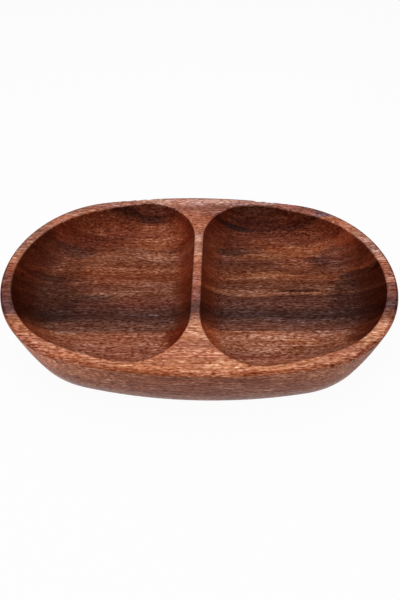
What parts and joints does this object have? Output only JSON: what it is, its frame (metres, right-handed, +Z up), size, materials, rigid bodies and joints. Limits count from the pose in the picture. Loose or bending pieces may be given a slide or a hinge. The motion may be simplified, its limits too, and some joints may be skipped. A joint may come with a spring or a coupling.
{
  "type": "divided serving bowl",
  "caption": "Oval serving bowl carved from edge-glued wood staves, with a low divider across its middle and a flat foot.",
  "frame": {"origin": "middle of the flat underside, on the surface that the bowl stands on", "axes": "+X along the oval's long axis and the grain, +Y to the back, +Z up out of the compartments"},
  "size_m": [0.3048, 0.1778, 0.0508],
  "materials": {
    "front_edge_wood": "clear-coated open-pored hardwood, semi-gloss",
    "front_wood": "clear-coated open-pored hardwood, semi-gloss",
    "middle_wood": "clear-coated open-pored hardwood, semi-gloss",
    "back_wood": "clear-coated open-pored hardwood, semi-gloss",
    "back_edge_wood": "clear-coated open-pored hardwood, semi-gloss",
    "wood_glue": "cured wood glue, flush with the wood and under the same clear coat"
  },
  "bodies": {
    "root": {"front_edge_stave": "front_edge_wood", "front_stave": "front_wood", "middle_stave": "middle_wood", "back_stave": "back_wood", "back_edge_stave": "back_edge_wood", "front_edge_glue_line": "wood_glue", "front_glue_line": "wood_glue", "middle_glue_line": "wood_glue", "back_glue_line": "wood_glue"}
  },
  "joints": []
}
